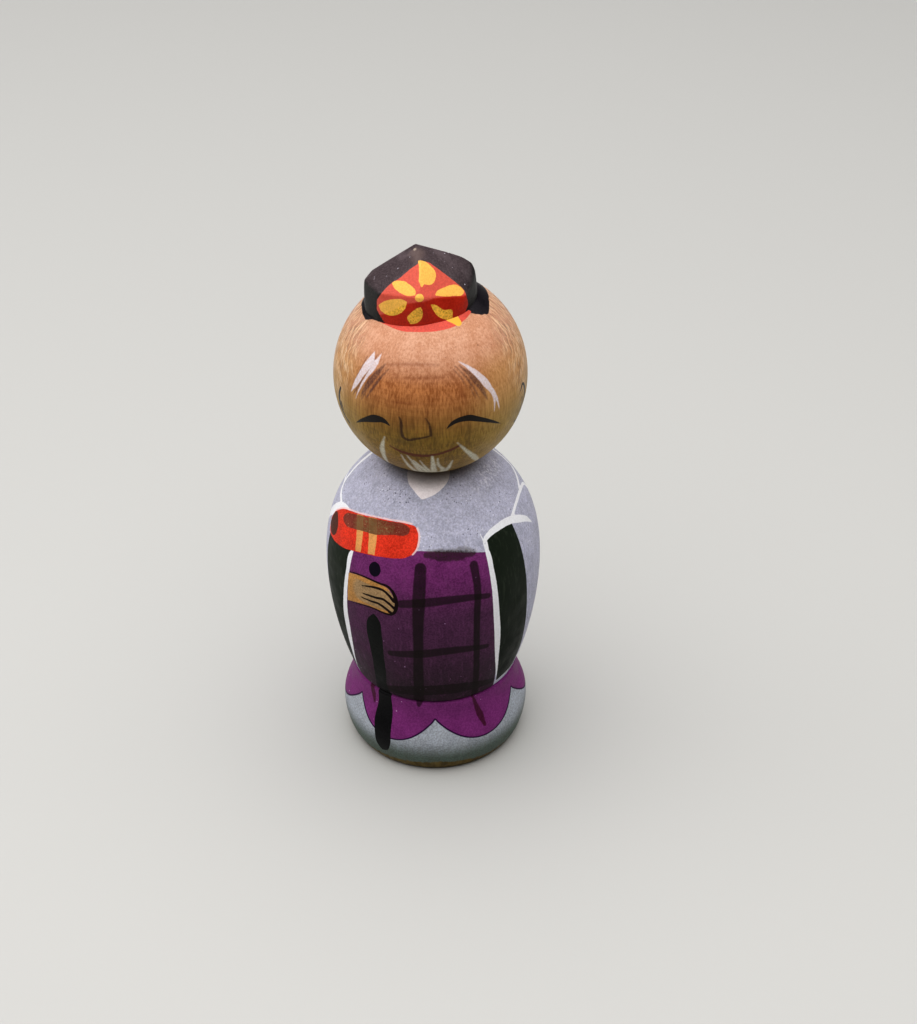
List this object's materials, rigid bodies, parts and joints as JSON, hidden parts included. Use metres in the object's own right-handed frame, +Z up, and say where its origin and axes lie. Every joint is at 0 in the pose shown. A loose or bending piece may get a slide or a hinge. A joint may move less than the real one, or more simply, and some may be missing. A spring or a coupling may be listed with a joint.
{
  "type": "shou lao figure",
  "caption": "Painted wooden figure of Shou Lao as a small turned doll: ball head, pared black and red hat, egg-shaped robe and flared skirt, standing as an ornament.",
  "frame": {"origin": "middle of the flat sole, on the surface that the figure stands on", "axes": "+Z up along the turning axis, the painted face looks along -Y, +X to the viewer's right"},
  "size_m": [0.0284, 0.0284, 0.075],
  "materials": {
    "robe_paint": "matt lavender-grey, purple and black poster paint on turned wood",
    "stained_wood": "light brown stain under a thin semi-gloss varnish, with brush lines",
    "hat_paint": "satin black and red paint with a yellow flower"
  },
  "bodies": {
    "root": {"body": "robe_paint", "head": "stained_wood", "hat": "hat_paint"}
  },
  "joints": []
}
